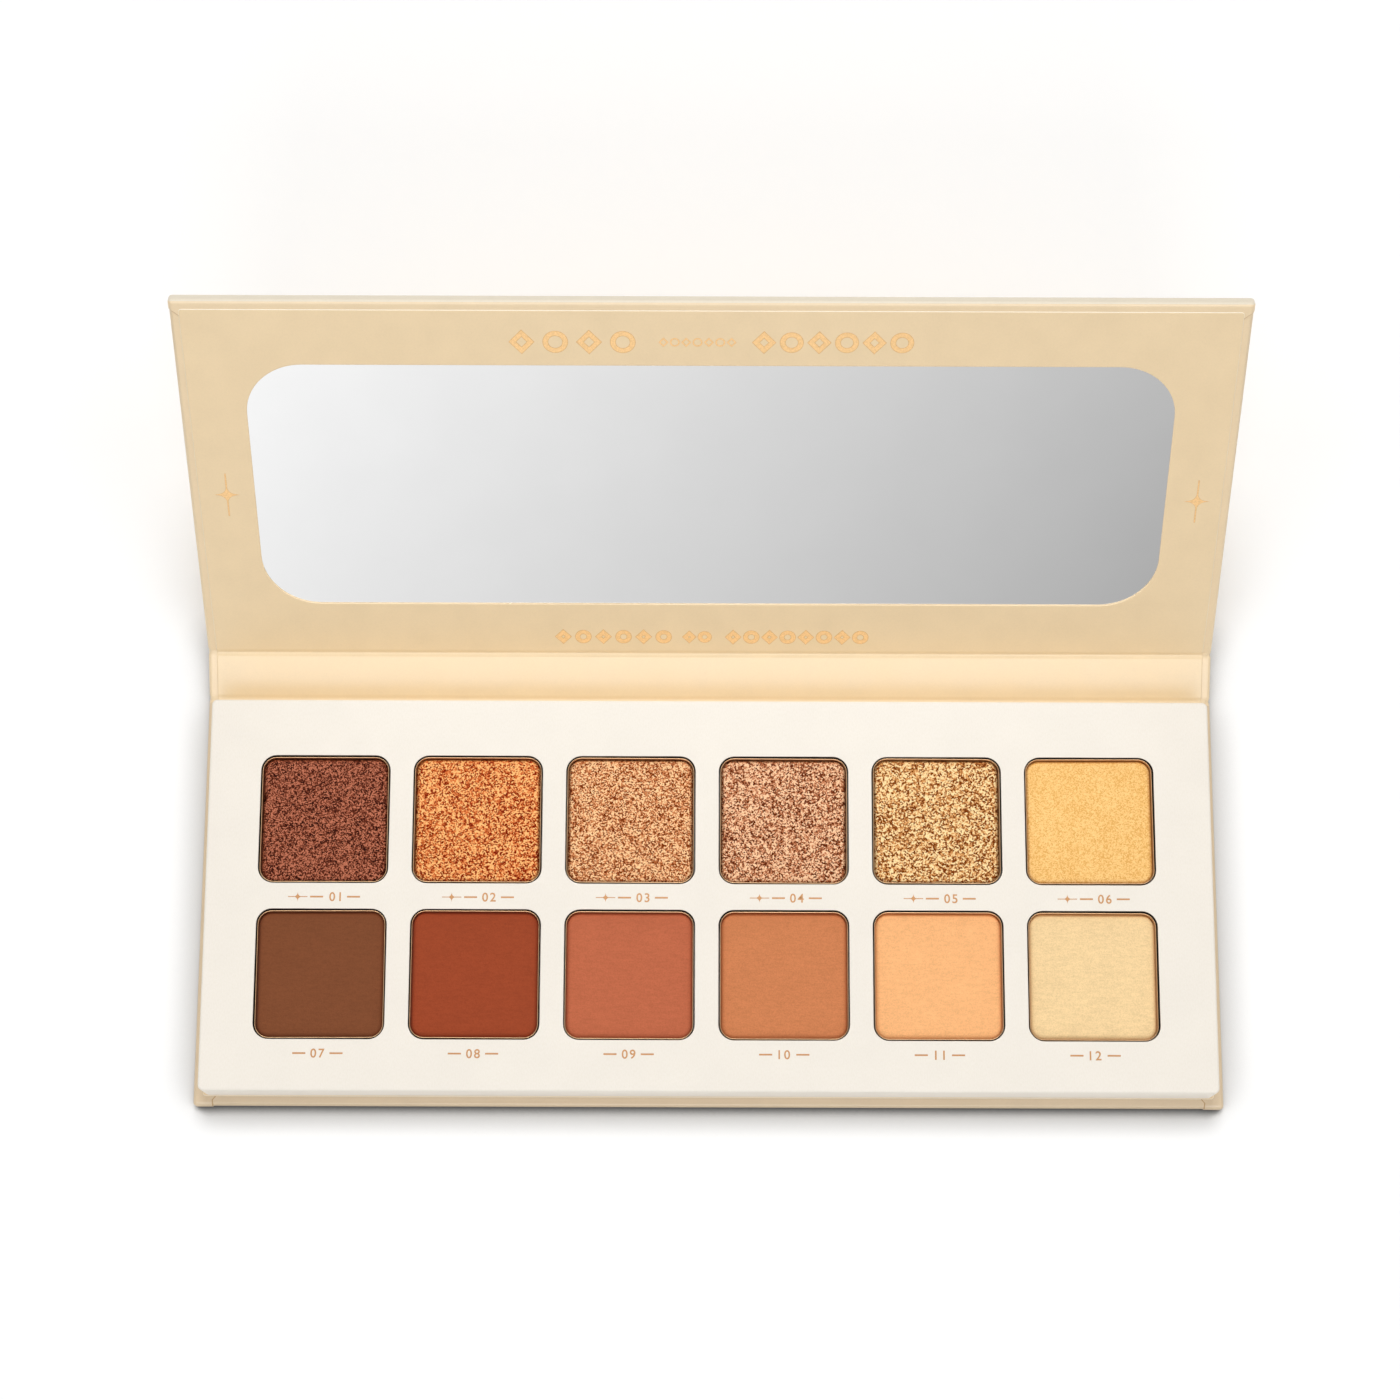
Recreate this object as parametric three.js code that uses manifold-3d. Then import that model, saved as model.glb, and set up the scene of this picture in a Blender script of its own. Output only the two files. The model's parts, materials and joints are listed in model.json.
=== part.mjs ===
// Eyeshadow palette, bound like a hard-cover book. The base panel carries a tray of twelve powder
// pans, a narrow spine panel folds up behind the tray, and the lid panel holds a mirror.
// Millimetres, +Z up. The origin is the centre of the base's underside, +X runs to the user's right
// and the front edge faces -Y. The palette stands open, as it is used.
import * as THREE from "three";
import { mergeVertices } from "three/addons/utils/BufferGeometryUtils.js";
import Module from "manifold-3d";

// ---- Driving dimensions ----

// The case: three cardboard panels in one printed wrap, joined along two creases.
const CASE_WIDTH = 190;
const PANEL_LENGTH = 77; // from crease to free edge, on the base and on the lid
const PANEL_THICKNESS = 2.4; // wrap, board and liner together
const SPINE_LENGTH = 8.8; // from crease to crease
const SPINE_ANGLE = THREE.MathUtils.degToRad(22.4); // above the horizontal, as it stands open
const LID_FOLD = THREE.MathUtils.degToRad(28.6); // further up from the spine, as it stands open
const CASE_CORNER = 1.2; // radius of the free corners, seen from above

// Paper and glue.
const PAPER = 0.2; // wrap, liner and tray skin
const GLUE = 0.05; // film between any two glued layers
const TURN_IN = 10.5; // width of the wrap that is folded over onto the inside
const LINER_MARGIN = 1.65; // from a panel's edge to its liner's edge
const CREASE_MARGIN = 0.8; // boards stop this far from a crease, so that it can fold

// The tray.
const TRAY_TOP = 11;
const TRAY_HALF_WIDTH = 93.1;
const TRAY_FRONT = -36.7;
const TRAY_BACK = 36.3;
const TRAY_CORNER = 1.5;
const TRAY_BOARD = 2; // thickness of the plate with the holes, and of the walls under it
const PAN_BED_TOP = 6.85;
const PAN_BED_THICKNESS = 1.5;
const RIB_WIDTH = 6;
const RIB_SPACING = 22;

// The pans: square tins in two rows of six.
const PAN_COLUMNS = 6;
const PAN_ROWS = 2;
const PAN_PITCH_X = 28.4;
const PAN_PITCH_Y = 28.9;
const PAN_GRID_CENTRE = new THREE.Vector2(-0.4, -0.8);
const APERTURE = 24.2;
const APERTURE_CORNER = 2.9;
const PAN_WIDTH = 23.6;
const PAN_CORNER = 2.6;
const PAN_HEIGHT = 3.6;
const PAN_SHEET = 0.25; // thickness of the stamped metal
const PAN_TAPE = 0.1;
const POWDER_RECESS = 0.35; // from the pan's rim down to the powder
const POWDER_EDGE = 0.2; // rounding of the powder's edge

// The mirror, in its window in the lid. Heights are measured from the lid's crease.
const MIRROR_WIDTH = 167.4;
const MIRROR_LOW = 11;
const MIRROR_HIGH = 64.6;
const MIRROR_CORNER = 11.1;
const MIRROR_GLASS = 0.9;
const MIRROR_TAPE = 0.1;
const TAPE_INSET = 1.5; // the tape stops this far inside the edge of the glass
const MIRROR_OVERLAP = 0.6; // the liner's window hides this much of the glass's edge
const WINDOW_GAP = 0.15;
const LID_OUTER_BOARD = 0.8;

// The magnetic catch: magnets in the tray, steel discs in the lid above them.
const CATCH_X = 60;
const CATCH_Y = -32;
const CATCH_RADIUS = 3;
const CATCH_GAP = 0.1;
const MAGNET_THICKNESS = 1.9;
const STRIKER_THICKNESS = 0.7;

const CORNER_STEPS = 3; // a rounded corner has twice as many straight steps
const DISC_STEPS = 12;
const BEND_STEPS = 6;
const OVERSHOOT = 1; // cutting solids pass this far through what they cut

// ---- Heights that follow ----

// Inside a panel's own frame z is 0 on the liner's face and falls towards the outside of the case.
const OUTSIDE = -PANEL_THICKNESS;
const BOARD_LOW = OUTSIDE + PAPER + GLUE;
const BOARD_HIGH = -PAPER - GLUE;
const TURN_IN_LOW = BOARD_HIGH - PAPER;
const BOARD_EDGE_HIGH = TURN_IN_LOW - GLUE; // the board is pressed down under the turned-in wrap
const LID_SPLIT = BOARD_LOW + LID_OUTER_BOARD;

const CREASE_Y = PANEL_LENGTH / 2;
const TRAY_LOW = PANEL_THICKNESS + GLUE;
const SKIN_LOW = TRAY_TOP - PAPER;
const PLATE_HIGH = SKIN_LOW - GLUE;
const PLATE_LOW = PLATE_HIGH - TRAY_BOARD;
const WALL_HIGH = PLATE_LOW - GLUE;
const PAN_LOW = PAN_BED_TOP + PAN_TAPE + 2 * GLUE;

// ---- Finishes ----

const finishes = {
  wrap: { color: 0xf6deb4, roughness: 0.42, metalness: 0 },
  liner: { color: 0xf0d5b2, roughness: 0.5, metalness: 0 },
  trayPaper: { color: 0xfbf5ea, roughness: 0.55, metalness: 0 },
  greyboard: { color: 0xb3aa9c, roughness: 0.95, metalness: 0 },
  tape: { color: 0xe9e6dc, roughness: 0.6, metalness: 0 },
  tin: { color: 0xd9c9a4, roughness: 0.28, metalness: 1 },
  magnet: { color: 0x8f9296, roughness: 0.35, metalness: 1 },
  mirror: { color: 0xdfe2e4, roughness: 0.02, metalness: 1 },
};

// The powders from the left, the back row first.
const powders = [
  { name: "burgundy_shimmer", color: 0x884b38, roughness: 0.5, metalness: 0.4 },
  { name: "copper_shimmer", color: 0xdb8750, roughness: 0.4, metalness: 0.6 },
  { name: "rose_gold_shimmer", color: 0xd89868, roughness: 0.4, metalness: 0.6 },
  { name: "mauve_shimmer", color: 0xcd926e, roughness: 0.4, metalness: 0.6 },
  { name: "gold_shimmer", color: 0xdba870, roughness: 0.4, metalness: 0.6 },
  { name: "butter_satin", color: 0xfac87d, roughness: 0.6, metalness: 0.2 },
  { name: "cocoa_matte", color: 0x834d32, roughness: 0.95, metalness: 0 },
  { name: "brick_matte", color: 0xa14a2d, roughness: 0.95, metalness: 0 },
  { name: "terracotta_matte", color: 0xc16b4d, roughness: 0.95, metalness: 0 },
  { name: "tan_matte", color: 0xd28457, roughness: 0.95, metalness: 0 },
  { name: "peach_matte", color: 0xfdbd82, roughness: 0.95, metalness: 0 },
  { name: "cream_matte", color: 0xf8d7a3, roughness: 0.95, metalness: 0 },
];

// ---- Solids ----

const wasm = await Module();
wasm.setup();

function solidOf(geometry) {
  geometry.deleteAttribute("normal");
  geometry.deleteAttribute("uv");
  const welded = mergeVertices(geometry);
  return new wasm.Manifold(
    new wasm.Mesh({
      numProp: 3,
      vertProperties: welded.attributes.position.array,
      triVerts: new Uint32Array(welded.index.array),
    }),
  );
}

function geometryOf(solid) {
  const { vertProperties, triVerts } = solid.getMesh();
  const geometry = new THREE.BufferGeometry();
  geometry.setAttribute("position", new THREE.BufferAttribute(vertProperties, 3));
  geometry.setIndex(new THREE.BufferAttribute(triVerts, 1));
  geometry.computeVertexNormals();
  return geometry;
}

// A rectangle with rounded corners. The low radius is for the corners at y0, the high one for y1.
function rectangle(x0, x1, y0, y1, lowRadius = 0, highRadius = lowRadius) {
  const quarter = Math.PI / 2;
  const corners = [
    [x1 - lowRadius, y0 + lowRadius, lowRadius, -quarter],
    [x1 - highRadius, y1 - highRadius, highRadius, 0],
    [x0 + highRadius, y1 - highRadius, highRadius, quarter],
    [x0 + lowRadius, y0 + lowRadius, lowRadius, 2 * quarter],
  ];
  const shape = new THREE.Shape();
  shape.moveTo(x0 + lowRadius, y0);
  for (const [x, y, radius, start] of corners) {
    shape.lineTo(x + radius * Math.cos(start), y + radius * Math.sin(start));
    if (radius > 0) shape.absarc(x, y, radius, start, start + quarter);
  }
  shape.closePath();
  return shape;
}

// A rounded square about a point.
function square(centre, width, corner) {
  const half = width / 2;
  return rectangle(centre.x - half, centre.x + half, centre.y - half, centre.y + half, corner);
}

function disc(x, y, radius) {
  return new THREE.Shape().absarc(x, y, radius, 0, 2 * Math.PI);
}

// An outline raised from one height to another.
function slab(shape, low, high, curveSegments = CORNER_STEPS) {
  const geometry = new THREE.ExtrudeGeometry(shape, {
    depth: high - low,
    bevelEnabled: false,
    curveSegments,
  });
  return solidOf(geometry.translate(0, 0, low));
}

function piece(name, solid, finish) {
  const mesh = new THREE.Mesh(geometryOf(solid), new THREE.MeshStandardMaterial(finish));
  mesh.name = name;
  return mesh;
}

// ---- The case ----

// A panel's own frame: x as in the palette, y away from the crease, z 0 on the liner's face.
// A panel with a free edge ends there; the spine ends at its other crease.
const longPanel = { end: PANEL_LENGTH, hasFreeEdge: true };
const spinePanel = { end: SPINE_LENGTH - CREASE_MARGIN, hasFreeEdge: false };

// The panel's outline, moved in from the side edges and from the free edge.
function panelOutline(panel, inset, corner = 0) {
  const halfWidth = CASE_WIDTH / 2 - inset;
  const end = panel.hasFreeEdge ? panel.end - inset : panel.end;
  const endCorner = panel.hasFreeEdge ? corner : 0;
  return rectangle(-halfWidth, halfWidth, CREASE_MARGIN, end, 0, endCorner);
}

// The same outline with the crease ends opened, for cutting.
function panelCut(panel, inset, corner = 0) {
  const halfWidth = CASE_WIDTH / 2 - inset;
  const end = panel.hasFreeEdge ? panel.end - inset : panel.end + OVERSHOOT;
  const endCorner = panel.hasFreeEdge ? corner : 0;
  return rectangle(-halfWidth, halfWidth, CREASE_MARGIN - OVERSHOOT, end, 0, endCorner);
}

// Printed paper over the outside, round the edges and turned in over the inside.
function wrapSolid(panel) {
  const outside = slab(panelOutline(panel, 0, CASE_CORNER), OUTSIDE, BOARD_HIGH);
  const boardSpace = slab(
    panelCut(panel, PAPER, CASE_CORNER - PAPER),
    OUTSIDE + PAPER,
    TURN_IN_LOW,
  );
  const opening = slab(panelCut(panel, TURN_IN), TURN_IN_LOW - PAPER, OVERSHOOT);
  return outside.subtract(boardSpace).subtract(opening);
}

// Greyboard that fills the wrap, lower at its edges where the turned-in paper presses it.
function boardSolid(panel) {
  const inset = PAPER + GLUE;
  const body = slab(panelOutline(panel, inset, CASE_CORNER - inset), BOARD_LOW, BOARD_EDGE_HIGH);
  const middle = slab(panelOutline(panel, TURN_IN + GLUE), BOARD_LOW, BOARD_HIGH);
  return body.add(middle);
}

function linerSolid(panel) {
  return slab(panelOutline(panel, LINER_MARGIN, CASE_CORNER), -PAPER, 0);
}

// Paper that bridges a crease, between a panel along -Y and one turned up from +Y by the angle.
// Its lower face is at the given height on both panels.
function creaseSolid(halfWidth, low, angle) {
  const reach = CREASE_MARGIN - GLUE;
  const bend = (height) => {
    const from = new THREE.Vector2(-reach, height);
    const corner = new THREE.Vector2(-height * Math.tan(angle / 2), height);
    const to = new THREE.Vector2(reach, height).rotateAround(new THREE.Vector2(), angle);
    return new THREE.QuadraticBezierCurve(from, corner, to).getPoints(BEND_STEPS);
  };
  const section = new THREE.Shape([...bend(low), ...bend(low + PAPER).reverse()]);
  const geometry = new THREE.ExtrudeGeometry(section, {
    depth: 2 * halfWidth,
    bevelEnabled: false,
  });
  geometry.translate(0, 0, -halfWidth);
  const sectionToCase = new THREE.Matrix4().makeBasis(
    new THREE.Vector3(0, 1, 0),
    new THREE.Vector3(0, 0, 1),
    new THREE.Vector3(1, 0, 0),
  );
  return solidOf(geometry.applyMatrix4(sectionToCase));
}

// The two papers that meet at a crease: the wrap outside and the liner inside.
function creasePieces(name, angle) {
  const group = new THREE.Group();
  const wrap = creaseSolid(CASE_WIDTH / 2, OUTSIDE, angle);
  const liner = creaseSolid(CASE_WIDTH / 2 - LINER_MARGIN, -PAPER, angle);
  group.add(piece(`${name}_crease_wrap`, wrap, finishes.wrap));
  group.add(piece(`${name}_crease_liner`, liner, finishes.liner));
  return group;
}

function basePanel() {
  const group = new THREE.Group();
  group.add(piece("base_wrap", wrapSolid(longPanel), finishes.wrap));
  group.add(piece("base_board", boardSolid(longPanel), finishes.greyboard));
  group.add(piece("base_liner", linerSolid(longPanel), finishes.liner));
  return group;
}

function spinePieces() {
  const group = new THREE.Group();
  group.add(piece("spine_wrap", wrapSolid(spinePanel), finishes.wrap));
  group.add(piece("spine_board", boardSolid(spinePanel), finishes.greyboard));
  group.add(piece("spine_liner", linerSolid(spinePanel), finishes.liner));
  return group;
}

// ---- The lid ----

// The mirror's outline, grown on every side.
function mirrorOutline(growth) {
  const halfWidth = MIRROR_WIDTH / 2 + growth;
  const low = MIRROR_LOW - growth;
  const high = MIRROR_HIGH + growth;
  return rectangle(-halfWidth, halfWidth, low, high, MIRROR_CORNER + growth);
}

// Places of the two catches across the palette.
const catchSides = [
  { side: "left", x: -CATCH_X },
  { side: "right", x: CATCH_X },
];

// The closed lid's y runs from the crease to the front, so this is the catch's place on it.
const STRIKER_Y = CREASE_Y - CATCH_Y;

function lidInnerBoard() {
  const below = slab(panelOutline(longPanel, 0), OUTSIDE - OVERSHOOT, LID_SPLIT + GLUE);
  const window = slab(mirrorOutline(WINDOW_GAP), OUTSIDE, OVERSHOOT);
  let board = boardSolid(longPanel).subtract(below).subtract(window);
  for (const { x } of catchSides) {
    const pocket = disc(x, STRIKER_Y, CATCH_RADIUS + CATCH_GAP);
    board = board.subtract(slab(pocket, OUTSIDE, OVERSHOOT, DISC_STEPS));
  }
  return board;
}

function lidOuterBoard() {
  const above = slab(panelOutline(longPanel, 0), LID_SPLIT, OVERSHOOT);
  return boardSolid(longPanel).subtract(above);
}

function lidPieces() {
  const group = new THREE.Group();
  const liner = linerSolid(longPanel).subtract(
    slab(mirrorOutline(-MIRROR_OVERLAP), -OVERSHOOT, OVERSHOOT),
  );
  const glassLow = BOARD_HIGH - MIRROR_GLASS;
  const tapeHigh = glassLow - GLUE;
  const glass = slab(mirrorOutline(0), glassLow, BOARD_HIGH);
  const tape = slab(mirrorOutline(-TAPE_INSET), tapeHigh - MIRROR_TAPE, tapeHigh);
  group.add(piece("lid_wrap", wrapSolid(longPanel), finishes.wrap));
  group.add(piece("lid_outer_board", lidOuterBoard(), finishes.greyboard));
  group.add(piece("lid_inner_board", lidInnerBoard(), finishes.greyboard));
  group.add(piece("lid_liner", liner, finishes.liner));
  group.add(piece("mirror", glass, finishes.mirror));
  group.add(piece("mirror_tape", tape, finishes.tape));
  const strikerLow = LID_SPLIT + GLUE;
  for (const { side, x } of catchSides) {
    const outline = disc(x, STRIKER_Y, CATCH_RADIUS);
    const striker = slab(outline, strikerLow, strikerLow + STRIKER_THICKNESS, DISC_STEPS);
    group.add(piece(`lid_striker_${side}`, striker, finishes.magnet));
  }
  return group;
}

// ---- The tray ----

// The centre of each pan, the back row first and each row from the left.
const panCentres = [];
for (let row = 0; row < PAN_ROWS; row++) {
  for (let column = 0; column < PAN_COLUMNS; column++) {
    const x = (column - (PAN_COLUMNS - 1) / 2) * PAN_PITCH_X;
    const y = ((PAN_ROWS - 1) / 2 - row) * PAN_PITCH_Y;
    panCentres.push(new THREE.Vector2(x, y).add(PAN_GRID_CENTRE));
  }
}

function trayOutline(inset) {
  const corner = TRAY_CORNER - inset;
  const halfWidth = TRAY_HALF_WIDTH - inset;
  return rectangle(-halfWidth, halfWidth, TRAY_FRONT + inset, TRAY_BACK - inset, corner);
}

// One solid with a rounded square through it at every pan.
function panColumns(width, corner, low, high) {
  const columns = panCentres.map((centre) => slab(square(centre, width, corner), low, high));
  return columns.reduce((all, column) => all.add(column));
}

// Printed paper over the tray's top and sides, folded down into every aperture.
function traySkin() {
  const outside = slab(trayOutline(0), TRAY_LOW, TRAY_TOP);
  const inside = slab(trayOutline(PAPER), TRAY_LOW - OVERSHOOT, SKIN_LOW);
  const sleeves = panColumns(APERTURE + 2 * PAPER, APERTURE_CORNER + PAPER, PLATE_LOW, TRAY_TOP);
  const apertures = panColumns(APERTURE, APERTURE_CORNER, TRAY_LOW, TRAY_TOP + OVERSHOOT);
  return outside.subtract(inside).add(sleeves).subtract(apertures);
}

function trayPlate() {
  const growth = PAPER + GLUE;
  let plate = slab(trayOutline(growth), PLATE_LOW, PLATE_HIGH);
  const width = APERTURE + 2 * growth;
  plate = plate.subtract(
    panColumns(width, APERTURE_CORNER + growth, PLATE_LOW - OVERSHOOT, TRAY_TOP),
  );
  for (const { x } of catchSides) {
    const pocket = disc(x, CATCH_Y, CATCH_RADIUS + CATCH_GAP);
    plate = plate.subtract(slab(pocket, PLATE_LOW - OVERSHOOT, TRAY_TOP, DISC_STEPS));
  }
  return plate;
}

// Four strips of board on edge, which hold the plate up. The side strips fit between the others.
function trayWalls() {
  const inset = PAPER + GLUE;
  const ring = slab(trayOutline(inset), TRAY_LOW, WALL_HIGH);
  const x = TRAY_HALF_WIDTH - inset;
  const innerX = x - TRAY_BOARD;
  const front = TRAY_FRONT + inset;
  const back = TRAY_BACK - inset;
  const innerFront = front + TRAY_BOARD;
  const innerBack = back - TRAY_BOARD;
  const strips = {
    front: rectangle(-x, x, front, innerFront),
    back: rectangle(-x, x, innerBack, back),
    left: rectangle(-x, -innerX, innerFront + GLUE, innerBack - GLUE),
    right: rectangle(innerX, x, innerFront + GLUE, innerBack - GLUE),
  };
  return Object.entries(strips).map(([side, shape]) =>
    piece(`tray_wall_${side}`, slab(shape, TRAY_LOW, WALL_HIGH).intersect(ring), finishes.greyboard),
  );
}

// The shelf under the pans, the ribs that carry it and the tape that holds the pans down.
function panSupport() {
  const inset = PAPER + TRAY_BOARD + 2 * GLUE;
  const halfWidth = TRAY_HALF_WIDTH - inset;
  const bedLow = PAN_BED_TOP - PAN_BED_THICKNESS;
  const bedOutline = rectangle(
    -halfWidth,
    halfWidth,
    TRAY_FRONT + inset,
    TRAY_BACK - inset,
  );
  const bed = slab(bedOutline, bedLow, PAN_BED_TOP);
  const pieces = [piece("pan_bed", bed, finishes.greyboard)];

  const middle = (TRAY_FRONT + TRAY_BACK) / 2;
  for (const [index, place] of ["front", "middle", "back"].entries()) {
    const y = middle + (index - 1) * RIB_SPACING;
    const outline = rectangle(-halfWidth, halfWidth, y - RIB_WIDTH / 2, y + RIB_WIDTH / 2);
    pieces.push(piece(`bed_rib_${place}`, slab(outline, TRAY_LOW, bedLow - GLUE), finishes.greyboard));
  }

  const tapeHalfX = ((PAN_COLUMNS - 1) * PAN_PITCH_X + PAN_WIDTH) / 2;
  const tapeHalfY = ((PAN_ROWS - 1) * PAN_PITCH_Y + PAN_WIDTH) / 2;
  const { x, y } = PAN_GRID_CENTRE;
  const tapeOutline = rectangle(x - tapeHalfX, x + tapeHalfX, y - tapeHalfY, y + tapeHalfY);
  const tapeLow = PAN_BED_TOP + GLUE;
  pieces.push(piece("pan_tape", slab(tapeOutline, tapeLow, tapeLow + PAN_TAPE), finishes.tape));
  return pieces;
}

function trayMagnets() {
  const low = PLATE_LOW + GLUE;
  return catchSides.map(({ side, x }) => {
    const outline = disc(x, CATCH_Y, CATCH_RADIUS);
    const magnet = slab(outline, low, low + MAGNET_THICKNESS, DISC_STEPS);
    return piece(`tray_magnet_${side}`, magnet, finishes.magnet);
  });
}

// A stamped tin: a square cup with rounded corners.
function panSolid() {
  const centre = new THREE.Vector2();
  const cup = slab(square(centre, PAN_WIDTH, PAN_CORNER), 0, PAN_HEIGHT);
  const inside = square(centre, PAN_WIDTH - 2 * PAN_SHEET, PAN_CORNER - PAN_SHEET);
  return cup.subtract(slab(inside, PAN_SHEET, PAN_HEIGHT + OVERSHOOT));
}

// The cake pressed into it, with its edges rounded off.
function powderSolid() {
  const inset = PAN_SHEET + GLUE;
  const low = inset;
  const high = PAN_HEIGHT - POWDER_RECESS;
  const width = PAN_WIDTH - 2 * (inset + POWDER_EDGE);
  const outline = square(new THREE.Vector2(), width, PAN_CORNER - inset - POWDER_EDGE);
  const geometry = new THREE.ExtrudeGeometry(outline, {
    depth: high - low - 2 * POWDER_EDGE,
    bevelEnabled: true,
    bevelThickness: POWDER_EDGE,
    bevelSize: POWDER_EDGE,
    bevelSegments: 1,
    curveSegments: CORNER_STEPS,
  });
  return solidOf(geometry.translate(0, 0, low + POWDER_EDGE));
}

function pansAndPowders() {
  const pan = panSolid();
  const powder = powderSolid();
  return panCentres.flatMap((centre, index) => {
    const { name, ...finish } = powders[index];
    const number = String(index + 1).padStart(2, "0");
    const pieces = [
      piece(`pan_${number}`, pan, finishes.tin),
      piece(`powder_${number}_${name}`, powder, finish),
    ];
    pieces.forEach((mesh) => mesh.position.set(centre.x, centre.y, PAN_LOW));
    return pieces;
  });
}

function tray() {
  const group = new THREE.Group();
  group.add(piece("tray_skin", traySkin(), finishes.trayPaper));
  group.add(piece("tray_plate", trayPlate(), finishes.greyboard));
  group.add(...trayWalls(), ...panSupport(), ...trayMagnets(), ...pansAndPowders());
  return group;
}

// ---- Assembly ----

// The base panel runs forwards from the lower crease, so it is turned half round about Z.
const base = basePanel();
base.rotation.z = Math.PI;

const lid = lidPieces();
lid.position.y = SPINE_LENGTH;
lid.rotation.x = LID_FOLD;

const upperCrease = creasePieces("upper", LID_FOLD);
upperCrease.position.y = SPINE_LENGTH;

const spine = spinePieces();
spine.rotation.x = SPINE_ANGLE;
spine.add(upperCrease, lid);

const bookCase = new THREE.Group();
bookCase.position.set(0, CREASE_Y, PANEL_THICKNESS);
bookCase.add(base, creasePieces("lower", SPINE_ANGLE), spine);

const palette = new THREE.Group();
palette.name = "eyeshadow_palette";
palette.add(bookCase, tray());

export default palette;
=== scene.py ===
"""Looks for an open eyeshadow palette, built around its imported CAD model.

Shapes are drawn in millimetres, each in the frame of the panel that carries it, and become metres
when their mesh is made. In a panel's frame x runs across the palette, y runs away from the panel's
crease, and z is 0 on the face of the liner and falls towards the outside of the case.
"""
import json
import math
import random

import bmesh
import bpy
from mathutils import Matrix, Vector, noise


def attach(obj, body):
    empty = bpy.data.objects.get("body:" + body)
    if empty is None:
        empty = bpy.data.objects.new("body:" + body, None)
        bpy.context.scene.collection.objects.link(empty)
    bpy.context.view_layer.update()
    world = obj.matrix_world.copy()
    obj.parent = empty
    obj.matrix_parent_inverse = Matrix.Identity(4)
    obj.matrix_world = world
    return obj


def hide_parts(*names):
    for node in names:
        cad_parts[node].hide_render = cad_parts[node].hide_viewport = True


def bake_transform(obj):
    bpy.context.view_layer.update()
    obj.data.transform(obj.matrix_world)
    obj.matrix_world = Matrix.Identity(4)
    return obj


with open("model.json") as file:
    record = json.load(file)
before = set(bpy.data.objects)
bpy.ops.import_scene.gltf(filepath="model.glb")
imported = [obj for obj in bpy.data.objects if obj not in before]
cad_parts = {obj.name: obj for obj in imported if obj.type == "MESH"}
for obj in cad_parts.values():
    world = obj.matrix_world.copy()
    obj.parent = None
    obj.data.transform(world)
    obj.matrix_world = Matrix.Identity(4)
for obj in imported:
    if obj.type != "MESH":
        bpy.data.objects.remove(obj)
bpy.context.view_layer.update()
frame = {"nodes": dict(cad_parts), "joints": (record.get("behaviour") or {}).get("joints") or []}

MM = 0.001
QUARTER = math.pi / 2

# ---- The frame's own places ----

joints = {joint["name"]: joint for joint in frame["joints"]}


def hinge_place(joint_name, angle):
    """The frame of a panel that starts at a joint, turned up by an angle from the horizontal."""
    return Matrix.Translation(joints[joint_name]["pos_m"]) @ Matrix.Rotation(angle, 4, "X")


def flat_fold(joint_name):
    """How far a joint is folded up from lying flat, in the rest pose."""
    return -math.radians(joints[joint_name]["range_deg"][0])


SPINE_FOLD = flat_fold("spine_fold")
LID_FOLD = flat_fold("lid_fold")
WORLD = Matrix.Identity(4)
BASE = hinge_place("spine_fold", 0) @ Matrix.Rotation(math.pi, 4, "Z")
LOWER_CREASE = hinge_place("spine_fold", 0)
SPINE = hinge_place("spine_fold", SPINE_FOLD)
UPPER_CREASE = hinge_place("lid_fold", SPINE_FOLD)
LID = hinge_place("lid_fold", SPINE_FOLD + LID_FOLD)


def extent(points):
    """Lowest and highest corner of the box round some points."""
    return [Vector([pick(point[axis] for point in points) for axis in range(3)]) for pick in (min, max)]


def span(node, place):
    """A CAD node's extent in a panel's frame, in millimetres."""
    to_place = place.inverted()
    return extent([to_place @ vertex.co / MM for vertex in frame["nodes"][node].data.vertices])


# ---- Sizes, in millimetres ----

wrap_low, wrap_high = span("base_wrap", BASE)
HALF_WIDTH = wrap_high.x
CREASE_MARGIN = wrap_low.y
PANEL_END = wrap_high.y
OUTSIDE = wrap_low.z
TURN_IN_TOP = wrap_high.z
PAPER = 0.2
TURN_IN = 10.5
CASE_CORNER = 0.55
SHARPEST_CORNER = 0.02
EDGE_ROUND = 0.6
EDGE_STEPS = 5
CORNER_STEPS = 8
BOTTOM_RING = 12.0  # the underside is one face inside this margin

# At a free corner the turned-in paper is folded double as far as a line across the edge. Each line
# has its distance from the corner at the outside, and how fast that grows inwards.
LID_FOLD_LINE = (1.7, 0.67)  # across the side
BASE_FOLD_LINE = (3.4, -0.12)  # across the far edge
FOLD_LIFT = 0.15
FOLD_REACH = 3.0
FOLD_STEP = 0.2
SHEEN_EDGE_WIDTH = 0.3  # how far in the lid's far edge is painted pale, as painted sheen on its rounded end

liner_high = span("base_liner", BASE)[1]
LINER_HALF_WIDTH = liner_high.x
LINER_END = liner_high.y
LINER_ROUND = 0.13
SUPPORT = 0.3  # from a rounded edge to the loop that keeps the face beside it flat

SPINE_END = span("spine_wrap", SPINE)[1].y
CREASE_STEPS = 14
GROOVE = 0.75  # how deep the wrap sinks between two boards
LINER_VALLEY = 0.1
PINCH = 0.2  # how far the folded ends of a crease draw in
WRINKLE = 0.26

mirror_low, mirror_high = span("mirror", LID)
MIRROR_CORNER = 11.1
MIRROR_OVERLAP = 0.6
MIRROR_BEVEL = 0.12
WINDOW_STEPS = 20
WINDOW_SIDES = 16

tray_low, tray_high = span("tray_skin", WORLD)
TRAY_CORNER = 1.0
TRAY_ROUND = 0.42
LIP_ROUND = 0.13
APERTURE = 24.08
APERTURE_CORNER = 2.9
APERTURE_DEPTH = 2.3
APERTURE_WOBBLE = 0.02
SIDE_STEPS = 10

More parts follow.
